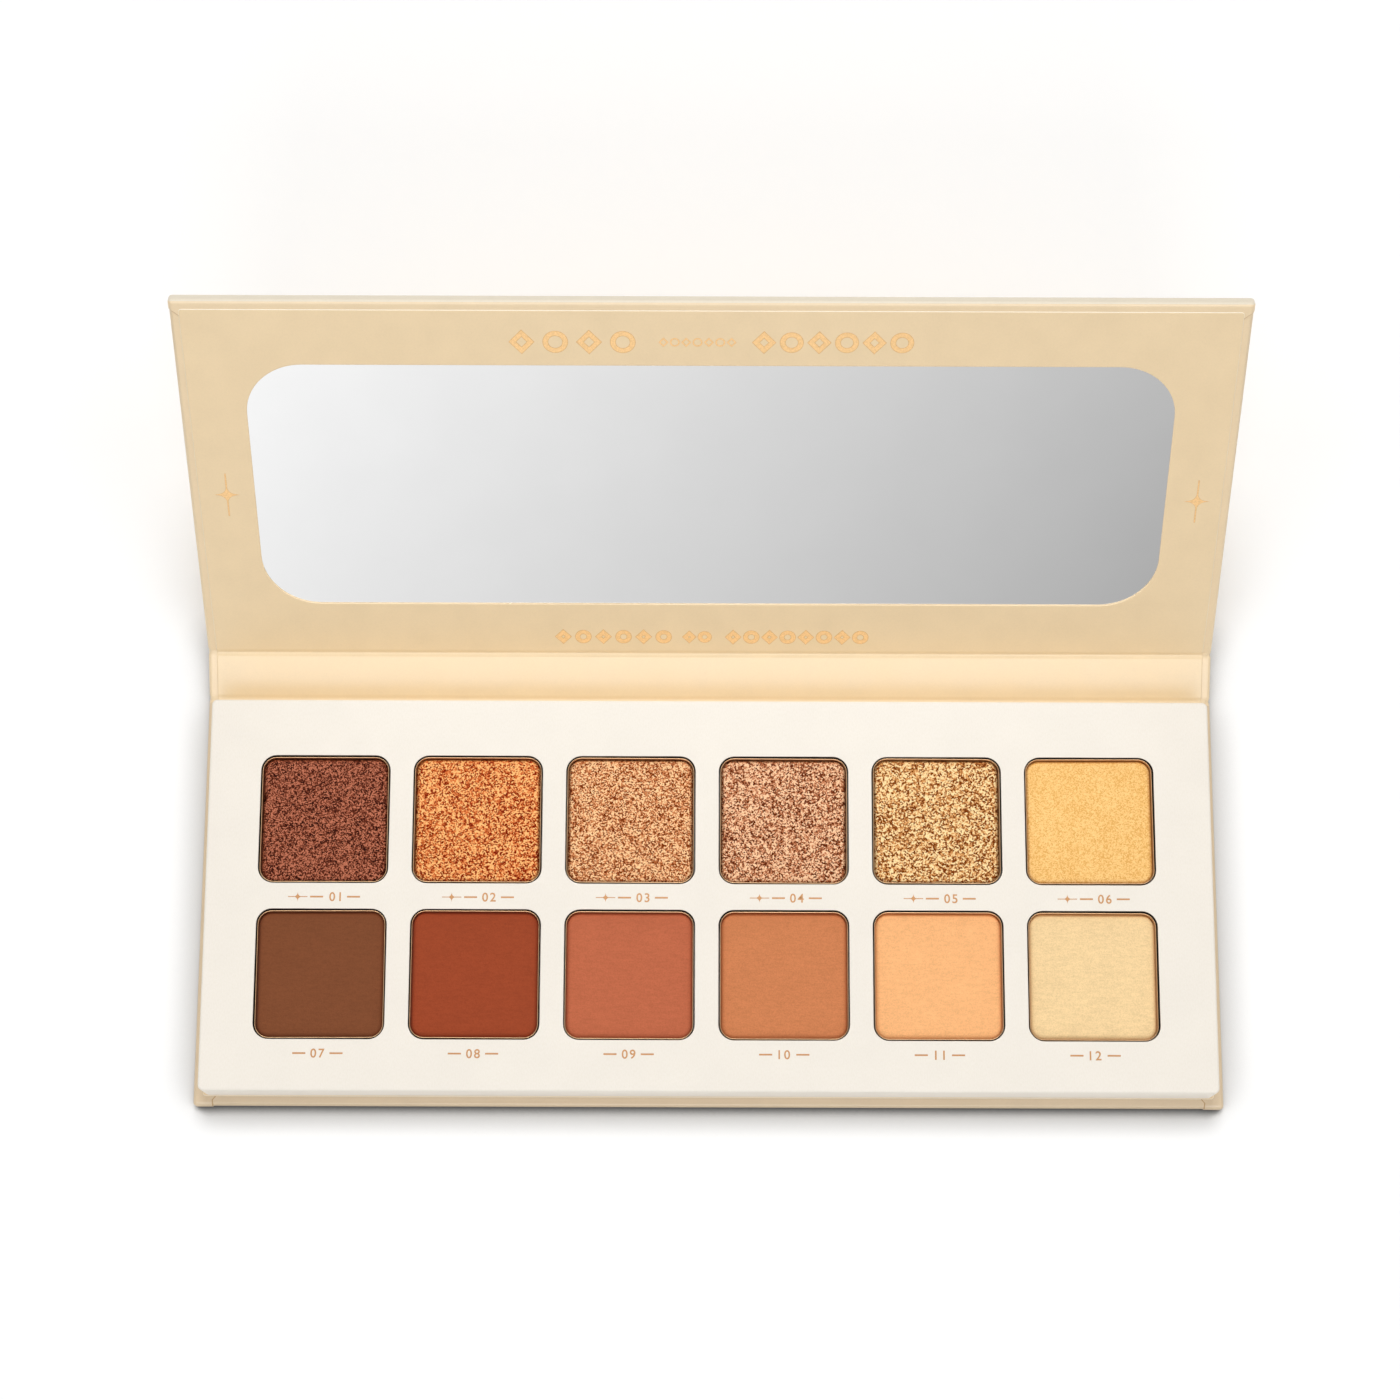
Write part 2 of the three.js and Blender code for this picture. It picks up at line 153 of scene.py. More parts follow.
PAN_COUNT = 12
PAN_COLUMNS = 6
PAN_CORNER = 2.6
PAN_SHEET = 0.18
PAN_FOOT = 0.5  # how far up the chamfer under a tin reaches
PAN_SHIFT = 0.04
PAN_TURN = math.radians(0.2)
SHIMMER_CELLS = 130  # along each side of a powder's face
MATTE_CELLS = 48
POWDER_ROUND = 0.65
RELIEF_FADE = 0.4  # how far in from the edge a powder's relief reaches its full height
POWDER_DROP = 0.5  # how far the cakes lie below their CAD nodes

FOIL_HEIGHT = 0.03
FOIL_BORDER = 0.15  # the darker border round a mark, as a share of its stroke
LOWER_ROW = 4.0  # from the crease up to the middle of the lid's lower ornaments
UPPER_ROW_DROP = 0.75  # from the middle of the liner's far margin down to the upper ornaments
LID_SPARKLE = (4.4, 4.2, 0.16, 9.2)  # width, height, and its rays' width and reach
LID_SPARKLE_BORDER = 0.07
LID_SPARKLE_PLACES = [(-88.2, 36.1), (88.8, 35.3)]
LABEL_SPARKLE = (1.9, 1.9, 0.14, 3.6)
LABEL_HEIGHT = 1.68
LABEL_DROP = 14.65  # from the centre of a pan down to the middle of its label
LABEL_SHIFT = 2.4  # how far a shimmer's number moves right, to make room for its sparkle
BAR_LENGTH = 2.4
BAR_STROKE = 0.3
BAR_REACH = 3.4  # from the middle of a number to the middle of the bars beside it
SPARKLE_REACH = 4.5  # from the middle of a pan to the sparkle on its left

SEED = 7
WELD = 0.0001  # points nearer to each other than this are one


# ---- Drawing ----


class Surface:
    """The points and faces of one piece, in millimetres."""

    def __init__(self):
        self.points = []
        self.faces = []
        self.finishes = []

    def row(self, points):
        first = len(self.points)
        self.points.extend(Vector(point) for point in points)
        return list(range(first, len(self.points)))

    def face(self, corners, finish=0):
        self.faces.append(tuple(corners))
        self.finishes.append(finish)

    def bridge(self, low, high, closed=True, finish=0):
        """Quads between two rows. They face out where rows run anticlockwise and climb."""
        count = len(low)
        for index in range(count if closed else count - 1):
            after = (index + 1) % count
            self.face((low[index], low[after], high[after], high[index]), finish)

    def stack(self, rows, closed=True, finishes=None):
        """Bridges from each row to the next. finishes, if given, has one for each bridge."""
        for index, (low, high) in enumerate(zip(rows, rows[1:])):
            self.bridge(low, high, closed, finishes[index] if finishes else 0)

    def close(self, rows, finish=0):
        """Flat faces over the last row, and under the first one with this finish."""
        self.face(rows[-1])
        self.face(reversed(rows[0]), finish)


def quarter_turns(steps):
    return [QUARTER * step / steps for step in range(steps + 1)]


def equal_cuts(parts):
    """Places that cut both kinds of side into this many parts."""
    return ([part / parts for part in range(1, parts)],) * 2


def rounded_rectangle(x0, x1, y0, y1, low_corner, high_corner=None, cuts=((), ()), steps=CORNER_STEPS):
    """Points anticlockwise from the low right corner. Every corner has the same number of points.

    cuts are the places of further points along the sides that run along x and along y, as shares
    of the straight part.
    """
    high_corner = low_corner if high_corner is None else high_corner
    corners = [
        (x1, y0, -1, 1, low_corner, -QUARTER),
        (x1, y1, -1, -1, high_corner, 0),
        (x0, y1, 1, -1, high_corner, QUARTER),
        (x0, y0, 1, 1, low_corner, math.pi),
    ]
    arcs = []
    for x, y, to_right, to_top, radius, start in corners:
        centre = Vector((x + to_right * radius, y + to_top * radius))
        turns = [start + turn for turn in quarter_turns(steps)]
        arcs.append([centre + radius * Vector((math.cos(a), math.sin(a))) for a in turns])
    along_x, along_y = cuts
    points = []
    for index, arc in enumerate(arcs):
        after = arcs[(index + 1) % len(arcs)]
        shares = along_x if index % 2 else along_y
        if index in (1, 2):  # these two sides run backwards
            shares = [1 - share for share in reversed(shares)]
        points += arc + [arc[-1].lerp(after[0], share) for share in shares]
    return points


def rounded_square(centre, width, corner, sides=1):
    half = width / 2
    x, y = centre
    return rounded_rectangle(x - half, x + half, y - half, y + half, corner, cuts=equal_cuts(sides))


def cell_outline(x0, x1, y0, y1, parts, lead):
    """A rectangle's outline, anticlockwise, with each side in equal parts.

    It starts this many points before the low right corner, to match an outline with round corners.
    """
    corners = [Vector(corner) for corner in ((x1, y0), (x1, y1), (x0, y1), (x0, y0))]
    points = []
    for index, corner in enumerate(corners):
        after = corners[(index + 1) % len(corners)]
        points += [corner.lerp(after, part / parts) for part in range(parts)]
    return points[-lead:] + points[:-lead]


def at_height(points, z):
    return [(point[0], point[1], z) for point in points]


def lip(radius, steps, outward=True):
    """A rounded edge as (how far in from the side, how far down from the top), going up."""
    turns = quarter_turns(steps)
    rise = [(radius - radius * math.cos(a), radius - radius * math.sin(a)) for a in turns]
    return rise if outward else rise[::-1]


def weld(mesh, turn_outwards=False):
    """Joins points that are in the same place."""
    shape = bmesh.new()
    shape.from_mesh(mesh)
    bmesh.ops.remove_doubles(shape, verts=shape.verts, dist=WELD * MM)
    if turn_outwards:
        bmesh.ops.recalc_face_normals(shape, faces=shape.faces)
    shape.to_mesh(mesh)
    shape.free()


def add_object(name, data):
    made = bpy.data.objects.new(name, data)
    bpy.context.scene.collection.objects.link(made)
    return made


def make_piece(name, surface, place, finishes, thickness=0.0, sharp=40):
    """A smooth-shaded object from a drawing. Edges stay sharp above an angle in degrees.

    An open sheet gets its thickness on the inside.
    """
    mesh = bpy.data.meshes.new(name)
    points = [place @ (point * MM) for point in surface.points]
    mesh.from_pydata(points, [], surface.faces)
    for finish in finishes:
        mesh.materials.append(finish)
    mesh.polygons.foreach_set("material_index", surface.finishes)
    weld(mesh)
    made = add_object(name, mesh)
    if thickness:
        shell = made.modifiers.new("paper", "SOLIDIFY")
        shell.thickness = thickness * MM
        shell.offset = -1
        shell.use_even_offset = True
        graph = bpy.context.evaluated_depsgraph_get()
        made.data = bpy.data.meshes.new_from_object(made.evaluated_get(graph))
        made.modifiers.clear()
        bpy.data.meshes.remove(mesh)
        made.data.name = name
    weld(made.data, turn_outwards=True)
    made.data.shade_smooth()
    made.data.set_sharp_from_angle(angle=math.radians(sharp))
    return made


# ---- Materials ----


def linear(red, green, blue):
    """A colour given as it looks on a screen, from 0 to 255, as shader values."""
    parts = [value / 255 for value in (red, green, blue)]
    return [p / 12.92 if p <= 0.04045 else ((p + 0.055) / 1.055) ** 2.4 for p in parts] + [1]


def grey(value):
    return [value] * 3 + [1]


def shaded(colour, factor):
    return [value * factor for value in colour[:3]] + [1]


def new_material(name, roughness, metallic=0.0):
    made = bpy.data.materials.new(name)
    made.use_nodes = True
    shader = made.node_tree.nodes["Principled BSDF"]
    feed(made.node_tree, shader, {"Roughness": roughness, "Metallic": metallic})
    return made, made.node_tree, shader


def feed(tree, node, inputs):
    """Gives each of these inputs a value, or another node's output."""
    for key, value in inputs.items():
        if isinstance(value, bpy.types.NodeSocket):
            tree.links.new(value, node.inputs[key])
        else:
            node.inputs[key].default_value = value


def add_node(tree, kind, inputs, **settings):
    made = tree.nodes.new(kind)
    for setting, value in settings.items():
        setattr(made, setting, value)
    feed(tree, made, inputs)
    return made


def object_coordinates(tree):
    return add_node(tree, "ShaderNodeTexCoord", {}).outputs["Object"]


def scaled_coordinates(tree, size, stretch=(1, 1, 1), offset=0.0):
    """Coordinates that advance by one in this many millimetres."""
    scale = [value / (size * MM) for value in stretch]
    inputs = {"Vector": object_coordinates(tree), "Scale": scale, "Location": (offset,) * 3}
    return add_node(tree, "ShaderNodeMapping", inputs).outputs["Vector"]


def grain(tree, size, detail=3.0, stretch=(1, 1, 1), offset=0.0):
    """Noise whose features are about this many millimetres across."""
    place = scaled_coordinates(tree, size, stretch, offset)
    inputs = {"Vector": place, "Scale": 1.0, "Detail": detail}
    return add_node(tree, "ShaderNodeTexNoise", inputs).outputs["Fac"]


def flake_tones(tree, size):
    """A random value from 0 to 1 for each flake, about this many millimetres across."""
    inputs = {"Vector": scaled_coordinates(tree, size), "Scale": 1.0}
    cells = add_node(tree, "ShaderNodeTexVoronoi", inputs)
    parts = add_node(tree, "ShaderNodeSeparateColor", {"Color": cells.outputs["Color"]})
    return parts.outputs["Red"]


def ramp(tree, value, stops):
    """Colours along a value from 0 to 1."""
    made = add_node(tree, "ShaderNodeValToRGB", {"Fac": value})
    elements = made.color_ramp.elements
    while len(elements) < len(stops):
        elements.new(0.5)
    for element, (position, colour) in zip(elements, stops):
        element.position = position
        element.color = colour
    return made.outputs["Color"]


def tinted(tree, value, colour, low, high, ends=(0.3, 0.7)):
    """A colour times low where the value is low, and times high where it is high."""
    return ramp(tree, value, [(end, shaded(colour, factor)) for end, factor in zip(ends, (low, high))])


def mixed(tree, factor, a, b, blend="MIX"):
    """Two colours mixed. A mix node's colour inputs and output are known by their places alone."""
    inputs = {0: factor, 6: a, 7: b}
    return add_node(tree, "ShaderNodeMix", inputs, data_type="RGBA", blend_type=blend).outputs[2]


def stretched(tree, value, low, high):
    """A value's middle part, from low to high, spread over 0 to 1."""
    inputs = {"Value": value, "From Min": low, "From Max": high}
    return add_node(tree, "ShaderNodeMapRange", inputs).outputs["Result"]


def bumped(tree, shader, layers):
    """Relief from several (height, depth in millimetres) layers."""
    normal = None
    for height, depth in layers:
        inputs = {"Height": height, "Distance": depth * MM, "Strength": 1.0}
        if normal:
            inputs["Normal"] = normal
        normal = add_node(tree, "ShaderNodeBump", inputs).outputs["Normal"]
    tree.links.new(normal, shader.inputs["Normal"])


def coloured(tree, shader, first, *others):
    """Layers of colour, multiplied together, as the surface's own colour."""
    for other in others:
        first = mixed(tree, 1.0, first, other, "MULTIPLY")
    tree.links.new(first, shader.inputs["Base Color"])


def vary_roughness(tree, shader, value, low, high):
    inputs = {"Value": value, "To Min": low, "To Max": high}
    result = add_node(tree, "ShaderNodeMapRange", inputs).outputs["Result"]
    tree.links.new(result, shader.inputs["Roughness"])


def laminated_paper(name, colour, roughness):
    """Printed paper under a satin film, glued on board: faint mottle and orange peel."""
    made, tree, shader = new_material(name, roughness)
    mottle = grain(tree, 6.0, detail=4.0)
    fibres = grain(tree, 0.35, detail=5.0)
    tone = tinted(tree, mottle, colour, 0.975, 1.015)
    coloured(tree, shader, tone, ramp(tree, fibres, [(0.3, grey(0.975)), (0.6, grey(1))]))
    vary_roughness(tree, shader, mottle, roughness - 0.06, roughness + 0.06)
    bumped(tree, shader, [(grain(tree, 9.0, 2.0), 0.05), (grain(tree, 1.1), 0.006), (fibres, 0.002)])
    return made


def plain_paper(name, colour, roughness):
    """Uncoated paper with short fibres."""
    made, tree, shader = new_material(name, roughness)
    mottle = grain(tree, 8.0, detail=4.0)
    fibres = grain(tree, 0.25, detail=6.0, stretch=(1, 0.45, 1))
    tone = tinted(tree, mottle, colour, 0.985, 1.01)
    flecks = ramp(tree, fibres, [(0.3, [0.97, 0.965, 0.95, 1]), (0.6, grey(1))])
    coloured(tree, shader, tone, flecks)
    vary_roughness(tree, shader, fibres, roughness - 0.05, roughness + 0.05)
    bumped(tree, shader, [(grain(tree, 12.0, 2.0), 0.04), (fibres, 0.008)])
    return made


def greyboard(name):
    """Recycled board, with pale and dark flecks of pulp."""
    made, tree, shader = new_material(name, 0.95)
    pulp = grain(tree, 0.5, detail=8.0)
    flecks = grain(tree, 0.9, detail=2.0, stretch=(1, 1, 3), offset=3.0)
    tones = [(0.25, linear(140, 132, 120)), (0.5, linear(176, 168, 154)), (0.75, linear(204, 197, 184))]
    dark = ramp(tree, flecks, [(0.28, linear(150, 140, 126)), (0.34, grey(1))])
    coloured(tree, shader, ramp(tree, pulp, tones), dark)
    bumped(tree, shader, [(pulp, 0.03)])
    return made


def adhesive_tape(name):
    made, tree, shader = new_material(name, 0.4)
    fibres = grain(tree, 0.4, detail=6.0, stretch=(0.3, 1, 1))
    tone = [(0.3, linear(222, 218, 204)), (0.7, linear(240, 237, 228))]
    coloured(tree, shader, ramp(tree, fibres, tone))
    bumped(tree, shader, [(fibres, 0.01)])
    return made


def rolled_metal(name, colour, roughness, stretch):
    """Sheet metal with fine rolling lines and a little unevenness in its gloss."""
    made, tree, shader = new_material(name, roughness, metallic=1.0)
    lines = grain(tree, 0.12, detail=3.0, stretch=stretch)
    coloured(tree, shader, tinted(tree, lines, colour, 0.88, 1.05))
    vary_roughness(tree, shader, grain(tree, 1.5), roughness - 0.08, roughness + 0.1)
    bumped(tree, shader, [(lines, 0.002)])
    return made


def mirror_glass(name):
    """Silvered glass, with a trace of haze from handling."""
    made, tree, shader = new_material(name, 0.02, metallic=1.0)
    haze = grain(tree, 14.0, detail=6.0)
    coloured(tree, shader, ramp(tree, haze, [(0.3, grey(0.935)), (0.7, grey(0.955))]))
    vary_roughness(tree, shader, haze, 0.01, 0.03)
    return made


def foil(name, colour, roughness):
    """Hot-stamped satin foil, slightly broken up by the paper under it."""
    made, tree, shader = new_material(name, roughness, metallic=0.2)
    wear_and_painted_light = grain(tree, 0.3, detail=5.0)
    coloured(tree, shader, tinted(tree, wear_and_painted_light, colour, 0.9, 1.06, ends=(0.35, 0.65)))
    bumped(tree, shader, [(wear_and_painted_light, 0.004)])
    return made


def matte_powder(name, colour):
    """Pressed powder: a dry, even face with fine grains and the strokes of a press cloth."""
    made, tree, shader = new_material(name, 0.95)
    dust = grain(tree, 5.0, detail=5.0)
    grains = grain(tree, 0.22, detail=4.0)
    strokes = grain(tree, 0.4, detail=3.0, stretch=(0.25, 1, 1))
    tone = tinted(tree, dust, colour, 0.99, 1.04)
    specks = ramp(tree, grains, [(0.3, [0.88, 0.87, 0.85, 1]), (0.6, grey(1.03))])
    pressed = ramp(tree, strokes, [(0.35, [0.95, 0.95, 0.94, 1]), (0.6, grey(1.02))])
    coloured(tree, shader, tone, specks, pressed)
    bumped(tree, shader, [(strokes, 0.012), (grains, 0.02)])
    feed(tree, shader, {"Specular IOR Level": 0.2, "Sheen Weight": 0.05, "Sheen Roughness": 0.5})
    return made


def shimmer_powder(name, dark, middle, light, size, clumps, metallic, relief):
    """Pressed metallic flakes: bright facets, partly painted glints, over a deep ground, gathered in
    clumps.
    """
    made, tree, shader = new_material(name, 0.42, metallic=metallic)
    flakes = flake_tones(tree, size)
    crinkle = grain(tree, size, detail=3.0)
    gathered = grain(tree, clumps, detail=4.0, offset=5.0)
    single = mixed(tree, 0.28, flakes, stretched(tree, crinkle, 0.3, 0.7))
    value = mixed(tree, 0.16, single, stretched(tree, gathered, 0.3, 0.7))
    stops = [(0.31, dark), (0.5, middle), (0.69, light)]
    coloured(tree, shader, ramp(tree, value, stops))
    vary_roughness(tree, shader, flakes, 0.3, 0.55)
    feed(tree, shader, {"Specular IOR Level": 0.05})
    bumped(tree, shader, [(crinkle, relief), (flakes, relief * 0.15)])
    return made


PAPER_COLOUR = linear(238, 214, 176)
# A darker copy of the wrap's colour for the base: painted shade on the same printed paper.
SHADED_BASE_COLOUR = linear(221, 198, 165)
# A paler copy of the wrap's colour for the lid's far edge: painted sheen on its rounded end.
SHEEN_EDGE_COLOUR = linear(232, 221, 200)
LINER_COLOUR = linear(240, 215, 174)
TRAY_COLOUR = linear(239, 232, 221)

wrap_paper = laminated_paper("printed_wrap", PAPER_COLOUR, 0.36)
# The base's wrap: the same print as the lid's, painted in shade.
shaded_base_paper = laminated_paper("base_wrap", SHADED_BASE_COLOUR, 0.36)
# Painted sheen: the pale band round the lid's far edge.
painted_sheen_paper = laminated_paper("painted_sheen_wrap_edge", SHEEN_EDGE_COLOUR, 0.4)
# Painted shade: a darker brown for the narrow steps where the turned-in paper folds double.
fold_shade_paper = laminated_paper("painted_fold_shade", linear(190, 152, 104), 0.5)
liner_paper = laminated_paper("printed_liner", LINER_COLOUR, 0.36)
paper_core = plain_paper("paper_core", linear(252, 246, 232), 0.7)
tray_paper = plain_paper("tray_paper", TRAY_COLOUR, 0.6)
# Near black for the lowest band down each aperture: partly stained board, partly painted shade of the gap
# round each tin.
stained_and_shaded_edge = plain_paper("stained_and_shaded_edge", linear(44, 28, 20), 0.8)
board = greyboard("greyboard")
tape = adhesive_tape("adhesive_tape")
tin = rolled_metal("pan_metal", linear(190, 154, 118), 0.32, (1, 0.08, 1))
catch_steel = rolled_metal("catch_metal", linear(160, 162, 166), 0.35, (1, 1, 0.1))
silver = mirror_glass("mirror_glass")
lid_foil = foil("lid_foil", linear(252, 208, 146), 0.4)
lid_foil_edge = foil("lid_foil_edge", linear(228, 184, 126), 0.45)
tray_foil = foil("tray_foil", linear(192, 138, 84), 0.4)

# Shimmers, by node: their dark, middle and light colours, the size of their flakes and clumps in
# millimetres, how metallic they are and their relief. The light colours partly paint glints.
SHIMMERS = {
    "powder_01_burgundy_shimmer": ((35, 5, 0), (100, 43, 25), (175, 106, 80), 0.2, 1.2, 0.45, 0.04),
    "powder_02_copper_shimmer": ((105, 20, 0), (190, 96, 45), (222, 170, 108), 0.25, 1.5, 0.5, 0.05),
    "powder_03_rose_gold_shimmer": ((95, 35, 5), (182, 110, 65), (222, 184, 138), 0.22, 1.3, 0.5, 0.05),
    "powder_04_mauve_shimmer": ((78, 28, 6), (170, 104, 68), (220, 182, 145), 0.25, 1.5, 0.5, 0.05),
    "powder_05_gold_shimmer": ((98, 42, 5), (190, 132, 74), (224, 200, 150), 0.27, 1.7, 0.5, 0.06),
    "powder_06_butter_satin": ((220, 165, 90), (236, 188, 115), (243, 200, 132), 0.2, 3.0, 0.15, 0.012),
}
MATTES = {
    "powder_07_cocoa_matte": (126, 72, 42),
    "powder_08_brick_matte": (156, 68, 36),
    "powder_09_terracotta_matte": (190, 103, 70),
    "powder_10_tan_matte": (206, 128, 82),
    "powder_11_peach_matte": (250, 185, 126),
    "powder_12_cream_matte": (244, 212, 160),
}


# ---- The case ----


SHEEN_EDGE_FINISH, SHADED_FOLD_FINISH = 1, 2  # places among the wrap's materials: the lid's far edge in painted sheen, and the fold lines in painted shade


def edge_profile(low, high, lift=0.0):
    """The wrap's way round a board's edge as (inset, z): underneath, up the side and over the top."""
    reach = EDGE_ROUND + lift
    turns = [(math.cos(turn), math.sin(turn)) for turn in quarter_turns(EDGE_STEPS)]
    lower = [(EDGE_ROUND - reach * sine, low + EDGE_ROUND - EDGE_ROUND * cosine) for cosine, sine in turns]
    upper = [(EDGE_ROUND - reach * cosine, high - EDGE_ROUND + reach * sine) for cosine, sine in turns]
    under = [(BOTTOM_RING, low), (EDGE_ROUND + SUPPORT, low)]
    return under + lower + upper + [(EDGE_ROUND + SUPPORT, high + lift), (TURN_IN, high + lift)]


def free_edge_row(plain, lifted, is_lid):
    """One row round a panel's three outer edges, from the right crease end to the left one.

    plain and lifted are the row's (inset, z) where the turned-in paper is single and double.
    """
    inset, z = plain
    start, slope = LID_FOLD_LINE if is_lid else BASE_FOLD_LINE
    fold = start + slope * min(max(inset, 0), FOLD_REACH)
    fold = max(fold, max(inset, CASE_CORNER) + 2 * FOLD_STEP)
    crease_end = (HALF_WIDTH - inset, CREASE_MARGIN, z)
    before_fold = (HALF_WIDTH - inset, PANEL_END - fold - FOLD_STEP, z)
    after_fold = (HALF_WIDTH - fold - FOLD_STEP, PANEL_END - inset, z)

    inset, z = lifted
    half = HALF_WIDTH - inset
    end = PANEL_END - inset
    corner = max(CASE_CORNER - inset, SHARPEST_CORNER)
    arc = [(half - corner + corner * math.cos(a), end - corner + corner * math.sin(a), z)
           for a in quarter_turns(CORNER_STEPS)]
    if is_lid:
        side = [crease_end, before_fold, (half, PANEL_END - fold, z), *arc]
    else:
        side = [crease_end, *arc, (HALF_WIDTH - fold, end, z), after_fold]
    return side + [(-x, y, z) for x, y, z in reversed(side)]


def paint_far_edge_sheen(surface):
    """Gives the faces round a panel's far edge their own finish, a paler colour painted there as sheen."""
    sheen_from = PANEL_END - SHEEN_EDGE_WIDTH
    for index, corners in enumerate(surface.faces):
        if min(surface.points[corner].y for corner in corners) > sheen_from:
            surface.finishes[index] = SHEEN_EDGE_FINISH


def shade_folds(surface, row_length, is_lid):
    """Gives the faces on both fold lines of the turned-in paper their own finish, a darker colour that
    paints the fold's shade.
    """
    columns = row_length - 1
    fold = 1 if is_lid else row_length // 2 - 2
    for index, corners in enumerate(surface.faces):
        is_inside = min(surface.points[corner].z for corner in corners) > TURN_IN_TOP - EDGE_ROUND
        if is_inside and index % columns in (fold, columns - 1 - fold):
            surface.finishes[index] = SHADED_FOLD_FINISH


def long_wrap(is_lid):
    """The printed paper round the base or the lid. The lid's far edge is painted pale, as painted sheen."""
    surface = Surface()
    plain = edge_profile(OUTSIDE, TURN_IN_TOP)
    lifted = edge_profile(OUTSIDE, TURN_IN_TOP, FOLD_LIFT)
    rows = [surface.row(free_edge_row(a, b, is_lid)) for a, b in zip(plain, lifted)]
    surface.stack(rows, closed=False)
    shade_folds(surface, len(rows[0]), is_lid)
    if is_lid:
        paint_far_edge_sheen(surface)
    surface.face(reversed(rows[0]))
    return surface


def strap_profile(half_width, low):
    """The wrap's section across a strip with two folded ends, as (x, z), from right to left."""
    right = [(half_width - inset, z) for inset, z in reversed(edge_profile(low, TURN_IN_TOP))]
    return right + [(-x, z) for x, z in reversed(right)]


def spine_wrap():
    surface = Surface()
    section = strap_profile(HALF_WIDTH, OUTSIDE)
    rows = [surface.row([(x, y, z) for x, z in section]) for y in (CREASE_MARGIN, SPINE_END)]
    surface.stack(rows, closed=False)
    return surface


def crease_station(part, fold):
    """A turn about the crease for a strip at this part of its way across, and its y."""
    weight = part * part * (3 - 2 * part)
    y = CREASE_MARGIN * (2 * part - 1)
    return Matrix.Rotation(fold * weight, 3, "X"), y


def valley(part):
    """0 at both ends of the way across a crease and 1 in its middle."""
    return (0.5 - 0.5 * math.cos(2 * math.pi * part)) ** 1.5


def crease_wrap(fold):
    """Wrap across a crease. Between the boards it sinks in, and its folded ends crumple."""
    surface = Surface()
    rows = []
    for step in range(CREASE_STEPS + 1):
        part = step / CREASE_STEPS
        turn, y = crease_station(part, fold)
        sink = valley(part)
        section = strap_profile(HALF_WIDTH - PINCH * sink, OUTSIDE + GROOVE * sink)
        points = []
        for x, z in section:
            creased = noise.noise(Vector((x * 2.1, y * 1.7, z * 2.3))) * WRINKLE * sink
            points.append(turn @ Vector((x + creased, y, z + creased)))
        rows.append(surface.row(points))
    surface.stack(rows, closed=False)
    return surface


def liner_section(half_width, top):
    """A paper strip's section as (x, z), with its upper edges rounded, clockwise from top left."""
    right = [(half_width - SUPPORT, top)]
    right += [(half_width - inset, top - drop) for inset, drop in reversed(lip(LINER_ROUND, 3))]
    right.append((half_width, top - PAPER))
    return right + [(-x, z) for x, z in reversed(right)]


def liner_strip(stations):
    """A strip from a list of (turn, y, sink)."""
    surface = Surface()
    rows = []
    for turn, y, sink in stations:
        section = liner_section(LINER_HALF_WIDTH, -sink)
        rows.append(surface.row([turn @ Vector((x, y, z)) for x, z in section]))
    surface.stack(rows)
    surface.face(rows[0])
    surface.face(reversed(rows[-1]))
    return surface


def spine_liner():
    flat = Matrix.Identity(3)
    return liner_strip([(flat, CREASE_MARGIN, 0), (flat, SPINE_END, 0)])


def crease_liner(fold):
    parts = [step / CREASE_STEPS for step in range(CREASE_STEPS + 1)]
    return liner_strip([(*crease_station(part, fold), LINER_VALLEY * valley(part)) for part in parts])


def window_outline(growth):
    """The mirror's outline in the lid, grown on every side."""
    x0, y0 = mirror_low.x - growth, mirror_low.y - growth
    x1, y1 = mirror_high.x + growth, mirror_high.y + growth
    corner = MIRROR_CORNER + growth
    return rounded_rectangle(x0, x1, y0, y1, corner, cuts=equal_cuts(WINDOW_SIDES), steps=WINDOW_STEPS)


def long_liner(has_window):
    """The liner of the base or the lid, with its free edges rounded."""
    surface = Surface()
    rim = [(0, PAPER), *lip(LINER_ROUND, 3), (SUPPORT, 0)]
    parts = WINDOW_STEPS + WINDOW_SIDES

    def outline(inset):
        half = LINER_HALF_WIDTH - inset
        sides = (-half, half, CREASE_MARGIN, LINER_END - inset)
        return rounded_rectangle(*sides, 0, CASE_CORNER - inset, equal_cuts(parts))

    flat = (CASE_CORNER, 0)  # here the outline has come down to a plain rectangle
    levels = [(CASE_CORNER, PAPER), *rim, flat]
    outer = [surface.row(at_height(outline(inset), -drop)) for inset, drop in levels]
    surface.stack(outer, finishes=[0, 1, 1, 1, 0, 0, 0])
    if not has_window:
        surface.close(outer)
        return surface

    half, end = LINER_HALF_WIDTH - CASE_CORNER, LINER_END - CASE_CORNER
    cell = cell_outline(-half, half, CREASE_MARGIN, end, parts, WINDOW_STEPS // 2)
    growths = [(inset - MIRROR_OVERLAP, -drop) for inset, drop in reversed(rim)]
    window = [surface.row(at_height(window_outline(growth), z)) for growth, z in growths]
    surface.stack([surface.row(at_height(cell, 0)), *window, surface.row(at_height(cell, -PAPER))])
    return surface


def mirror_slab():
    """The glass, with its upper edge ground off."""
    surface = Surface()
    low, high = mirror_low.z, mirror_high.z
    levels = [(0, low), (0, high - MIRROR_BEVEL), (-MIRROR_BEVEL, high), (-SUPPORT, high)]
    rows = [surface.row(at_height(window_outline(growth), z)) for growth, z in levels]
    surface.stack(rows)
    surface.close(rows)
    return surface


# ---- The tray ----


def pan_name(number):
    return f"pan_{number:02d}"


def pan_centre(number):
    low, high = span(pan_name(number), WORLD)
    return ((low + high) / 2).to_2d()


def wobbled(points, amount):
    """A die-cut outline, very slightly uneven."""
    shifted = []
    for point in points:
        offset = noise.noise_vector(Vector((point[0], point[1], 0)) * 0.9) * amount
        shifted.append(Vector(point) + offset.to_2d())
    return shifted


